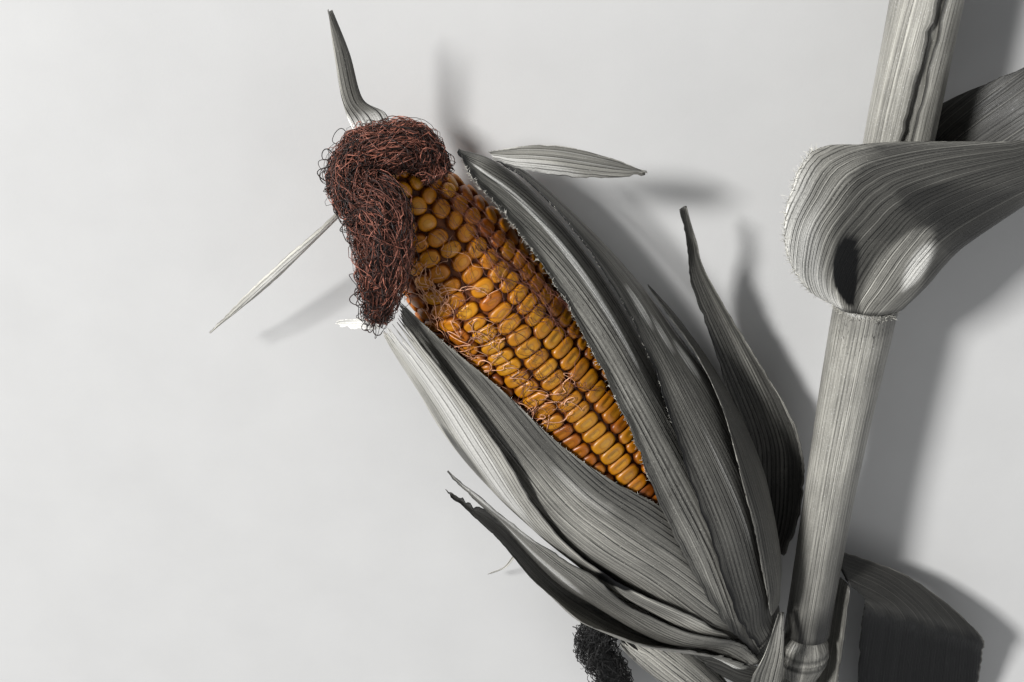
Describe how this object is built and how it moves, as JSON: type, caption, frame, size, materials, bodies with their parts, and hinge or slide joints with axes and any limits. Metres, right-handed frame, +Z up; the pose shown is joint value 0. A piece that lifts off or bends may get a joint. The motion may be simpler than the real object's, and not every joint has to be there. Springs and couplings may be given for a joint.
{
  "type": "maize ear on a cut length of stalk",
  "caption": "Ripe maize ear with golden kernels in dry open husks, brown silk at its tip, on a cut length of dry stalk with leaf sheaths, two leaves and a small second ear",
  "frame": {"origin": "middle of the footprint, at the level of the floor it lies on", "axes": "X along its longest extent, from the ear's tip towards the leaf that reaches away from the stalk; Y along the stalk, towards its upper cut end; Z up, its shortest extent"},
  "size_m": [0.4602, 0.357, 0.0688],
  "materials": {
    "stalk_skin": "smooth dry stalk and sheath",
    "leaf": "dry ribbed leaf",
    "husk": "dry papery husk",
    "husk_tip": "pale thin husk tip",
    "kernels": "hard glossy golden kernels",
    "silk_brown": "dry reddish brown silk",
    "silk_black": "weathered black silk"
  },
  "bodies": {
    "root": {"cob": "kernels", "husk_back_inner": "husk", "husk_back_outer": "husk", "husk_base_bract": "husk", "husk_left_inner": "husk", "husk_left_lowest": "husk", "husk_left_middle": "husk", "husk_left_outer": "husk", "husk_right_fold": "husk", "husk_right_free": "husk", "husk_right_inner": "husk", "husk_right_outer": "husk", "husk_tip_left": "husk_tip", "husk_tip_right": "husk_tip", "husk_tip_torn": "husk_tip", "husk_tip_upright": "husk_tip", "lower_leaf_blade": "leaf", "lower_leaf_hanging": "leaf", "lower_leaf_sheath": "stalk_skin", "second_ear": "husk", "second_ear_silk": "silk_black", "shank": "stalk_skin", "sheath_flap": "leaf", "silk": "silk_brown", "stalk": "stalk_skin", "top_leaf_sheath": "stalk_skin", "upper_leaf_base": "leaf", "upper_leaf_blade": "leaf", "upper_leaf_sheath": "stalk_skin", "upper_leaf_tip": "leaf"}
  },
  "joints": []
}
